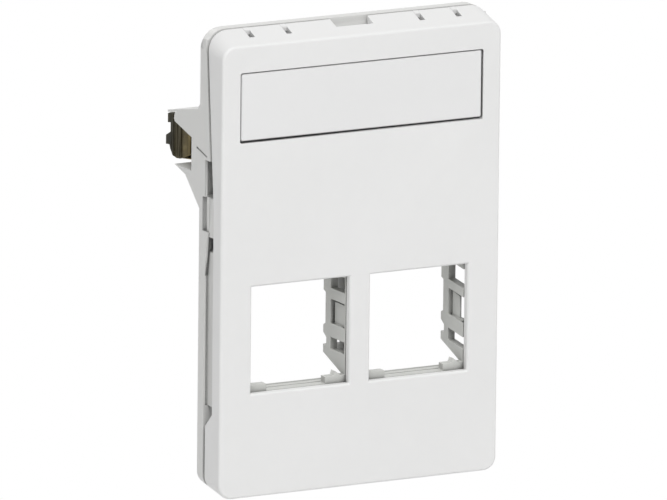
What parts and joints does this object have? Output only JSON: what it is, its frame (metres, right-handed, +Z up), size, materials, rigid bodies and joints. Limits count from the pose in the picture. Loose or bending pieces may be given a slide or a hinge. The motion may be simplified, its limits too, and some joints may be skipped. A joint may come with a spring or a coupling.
{
  "type": "ethernet wall socket",
  "caption": "Flush wall data outlet: white clip-on cover with label window and open jack bays, on a frame held in its wall box by screw-driven spreader claws.",
  "frame": {"origin": "centre of the plane of the flange's back face, which meets the wall", "axes": "+X right as seen from the room, +Y into the wall, +Z up"},
  "size_m": [0.05, 0.0215, 0.075],
  "materials": {
    "cover_white": "fine satin moulded white",
    "frame_white": "satin moulded white",
    "carrier_white": "satin moulded white",
    "label_clear": "frosted clear sheet",
    "label_paper": "uncoated card",
    "claw_steel": "yellow passivated zinc",
    "drive_steel": "yellow passivated zinc"
  },
  "bodies": {
    "housing": {"front_cover": "cover_white", "label_card": "label_paper", "label_window": "label_clear", "mounting_frame": "frame_white", "connector_carrier": "carrier_white", "left_claw_pin": "drive_steel", "right_claw_pin": "drive_steel"},
    "left_screw": {"left_claw_screw": "drive_steel"},
    "left_nut": {"left_claw_nut": "drive_steel"},
    "left_claw": {"left_claw": "claw_steel"},
    "right_screw": {"right_claw_screw": "drive_steel"},
    "right_nut": {"right_claw_nut": "drive_steel"},
    "right_claw": {"right_claw": "claw_steel"}
  },
  "joints": [
    {"name": "left_screw_turn", "type": "hinge", "parent": "housing", "child": "left_screw", "pos_m": [-0.0193, 0, 0.017], "axis": [0, 1, 0], "range_deg": [0, 3435]},
    {"name": "left_nut_travel", "type": "slide", "parent": "housing", "child": "left_nut", "axis": [0, -1, 0], "range_m": [0, 0.00477]},
    {"name": "left_claw_swing", "type": "hinge", "parent": "housing", "child": "left_claw", "pos_m": [-0.0159, 0.0009, 0.0175], "axis": [0, 0, 1], "range_deg": [0, 25]},
    {"name": "right_screw_turn", "type": "hinge", "parent": "housing", "child": "right_screw", "pos_m": [0.0193, 0, 0.017], "axis": [0, 1, 0], "range_deg": [0, 3435]},
    {"name": "right_nut_travel", "type": "slide", "parent": "housing", "child": "right_nut", "axis": [0, -1, 0], "range_m": [0, 0.00477]},
    {"name": "right_claw_swing", "type": "hinge", "parent": "housing", "child": "right_claw", "pos_m": [0.0159, 0.0009, 0.0175], "axis": [0, 0, -1], "range_deg": [0, 25]}
  ],
  "couplings": [
    {"joint": "left_screw_turn", "follows": "left_nut_travel", "rad_per_m": 12566},
    {"joint": "left_claw_swing", "follows": "left_nut_travel", "rad_per_m": 91.474},
    {"joint": "right_screw_turn", "follows": "right_nut_travel", "rad_per_m": 12566},
    {"joint": "right_claw_swing", "follows": "right_nut_travel", "rad_per_m": 91.474}
  ]
}
